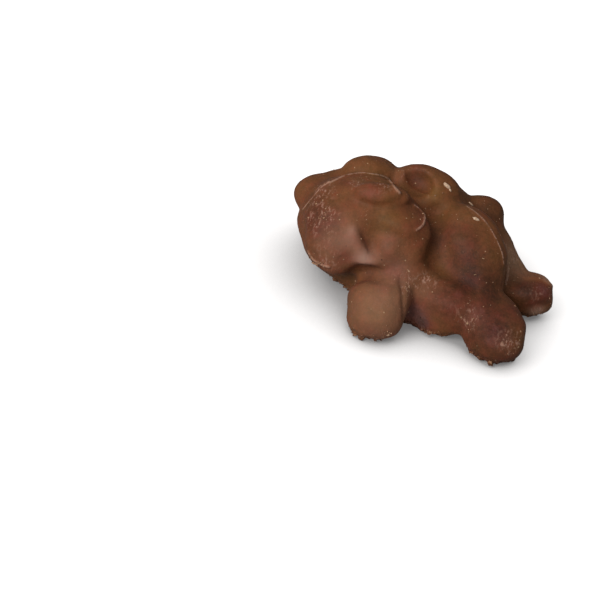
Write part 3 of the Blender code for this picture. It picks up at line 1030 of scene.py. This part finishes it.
draw = np.random.default_rng(23)
spots = []
for patch in PATCHES:
    for _ in range(patch.count):
        spots.append(at_pixel(np.array(patch.pixel) + draw.normal(size=2) * np.array(patch.spread) / 2))
normals = skin_normals(cluster.data)
for i in draw.choice(np.flatnonzero(points[:, 2] > LOWEST_CRUMB), SPARSE, replace=False):
    spots.append((points[i], normals[i]))

dust, tree = new_material("chocolate_and_nut_crumbs_rubbed_off")
where = add(tree, "ShaderNodeTexCoord").outputs["Object"]
each = add(tree, "ShaderNodeTexNoise", {"Vector": where, "Scale": per_mm(0.8), "Detail": 2.0})
pale = add(
    tree,
    "ShaderNodeValToRGB",
    {"Fac": each.outputs["Fac"]},
    stops=[(0.35, linear("#6a462f")), (0.55, linear("#8f6a4e")), (0.72, linear("#bd9a7c"))],
)
grainy = add(tree, "ShaderNodeBump", {"Distance": 0.02 * MM, "Height": each.outputs["Fac"]})
crumb = add(tree, "ShaderNodeBsdfPrincipled", {"Base Color": pale, "Roughness": 0.75, "Normal": grainy})
add(tree, "ShaderNodeOutputMaterial", {"Surface": crumb})

mesh = bmesh.new()
for place, normal in spots:
    size = (CRUMB_LEAST + (CRUMB_MOST - CRUMB_LEAST) * draw.random() ** 3) * draw.uniform(0.7, 1.3, 3)
    ball = bmesh.ops.create_icosphere(mesh, subdivisions=1, radius=1.0)
    stand = standing(place, normal, draw.normal(size=3))
    roughened(ball["verts"], stand, size, CRUMB_ROUGH, draw.random() * SEEDS)
finish_piece(mesh, "crumbs", dust)

# %% [markdown]
# ## The broken foot
#
# Lifting the sweet off its sheet tore small flakes from the thin edge that had run out on it. Seen
# from the side the foot ends in jagged points. Flattened, roughened balls, sunk halfway into the
# foot all the way round, give that edge.

# %% Flakes round the foot
FLAKES = 240
FLAKE_LOWEST = 0.1
FLAKE_TOP = 1.5
STEEPEST_UP = 0.5
FLAKE_LEAST = 0.6
FLAKE_MOST = 1.9
FLAKE_SUNK = 0.18
FLAKE_ROUGH = 0.55

torn, tree = new_material("milk_chocolate_torn_edge")
where = add(tree, "ShaderNodeTexCoord").outputs["Object"]
torn_cloud = add(tree, "ShaderNodeTexNoise", {"Vector": where, "Scale": per_mm(0.7), "Detail": 4.0})
torn_brown = add(
    tree,
    "ShaderNodeValToRGB",
    {"Fac": torn_cloud.outputs["Fac"]},
    stops=[(0.42, linear("#52301b")), (0.56, linear("#64402a")), (0.70, linear("#a07c5c"))],
)
torn_bump = add(tree, "ShaderNodeBump", {"Distance": 0.10 * MM, "Height": torn_cloud.outputs["Fac"]})
torn_skin = add(
    tree,
    "ShaderNodeBsdfPrincipled",
    {"Base Color": torn_brown, "Roughness": 0.60, "Normal": torn_bump, "Specular IOR Level": COAT_SPECULAR},
)
add(tree, "ShaderNodeOutputMaterial", {"Surface": torn_skin})

mesh = bmesh.new()
low_down = (points[:, 2] > FLAKE_LOWEST) & (points[:, 2] < FLAKE_TOP)
rim = np.flatnonzero(low_down & (normals[:, 2] < STEEPEST_UP))
for i in draw.choice(rim, FLAKES, replace=False):
    length = FLAKE_LEAST + (FLAKE_MOST - FLAKE_LEAST) * draw.random() ** 1.6
    size = length * np.array((1.0, draw.uniform(0.5, 0.9), draw.uniform(0.35, 0.6)))
    ball = bmesh.ops.create_icosphere(mesh, subdivisions=2, radius=1.0)
    tilted = normals[i] * 0.3 + draw.normal(size=3) * 0.4 + np.array((0, 0, 0.8))
    sunk = points[i] - normals[i] * FLAKE_SUNK * length
    place = standing(sunk, tilted / np.linalg.norm(tilted), draw.normal(size=3))
    roughened(ball["verts"], place, size, FLAKE_ROUGH, draw.random() * SEEDS)
finish_piece(mesh, "torn_foot_flakes", torn)

# %% [markdown]
# ## A curled burr
#
# At the dome's low left edge the chocolate pulled a thin thread as it was parted from what lay next
# to it. It curled up and set. A small circle spun through most of a turn makes the curl, and scaling
# each ring makes it thin out towards its end.

# %% Curled burr
Curl = namedtuple("Curl", "name pixel radius thick sweep turn")
CURLS = [
    Curl("large", (317, 259), 1.05, 0.34, 205, 150),
    Curl("small", (325, 265), 0.60, 0.26, 190, 20),
]
CURL_STEPS = 26
CURL_START = 1.15
CURL_THINNER = 0.85
CURL_UNEVEN = 0.2
CURL_RISE = 0.25

mesh = bmesh.new()
for curl in CURLS:
    place, normal = at_pixel(curl.pixel)
    turn = math.radians(curl.turn)
    along = right * math.cos(turn) - up * math.sin(turn)
    stand = standing(place, -look * 0.75 + Vector(normal) * 0.25, along)
    ring = bmesh.ops.create_circle(mesh, cap_ends=True, segments=10, radius=curl.thick / 2)
    bmesh.ops.rotate(mesh, verts=ring["verts"], matrix=Matrix.Rotation(math.radians(90), 3, "X"))
    bmesh.ops.translate(mesh, verts=ring["verts"], vec=(curl.radius, 0, 0))
    disc = [face for face in mesh.faces if all(corner in ring["verts"] for corner in face.verts)]
    before = set(mesh.verts) - set(ring["verts"])
    bmesh.ops.spin(
        mesh,
        geom=disc,
        cent=(0, 0, 0),
        axis=(0, 0, 1),
        angle=math.radians(curl.sweep),
        steps=CURL_STEPS,
    )
    for corner in set(mesh.verts) - before:
        angle = math.atan2(corner.co.y, corner.co.x) % math.tau
        share = angle / math.radians(curl.sweep)
        middle = Vector((math.cos(angle), math.sin(angle), 0)) * curl.radius
        thin = CURL_START - CURL_THINNER * min(share, 1.0) + CURL_UNEVEN * noise.noise(corner.co * 3)
        corner.co = middle + (corner.co - middle) * thin
        corner.co.z += CURL_RISE * share
        corner.co = stand @ (corner.co * MM)
bmesh.ops.recalc_face_normals(mesh, faces=mesh.faces)
burr = finish_piece(mesh, "curled_burr", dust)
burr.data.shade_smooth()

# %% [markdown]
# ## Measure and finish
#
# The visual model has to stay inside the solid's box, so both boxes are printed.

# %% Sizes and finish
bpy.context.view_layer.update()
sizes = {
    "cad": [list(corner) for corner in cad_bounds],
    "visual": [list(corner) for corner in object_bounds()],
}
for name, box in sizes.items():
    print(name, "box in mm:", [[round(c / MM, 2) for c in corner] for corner in box])
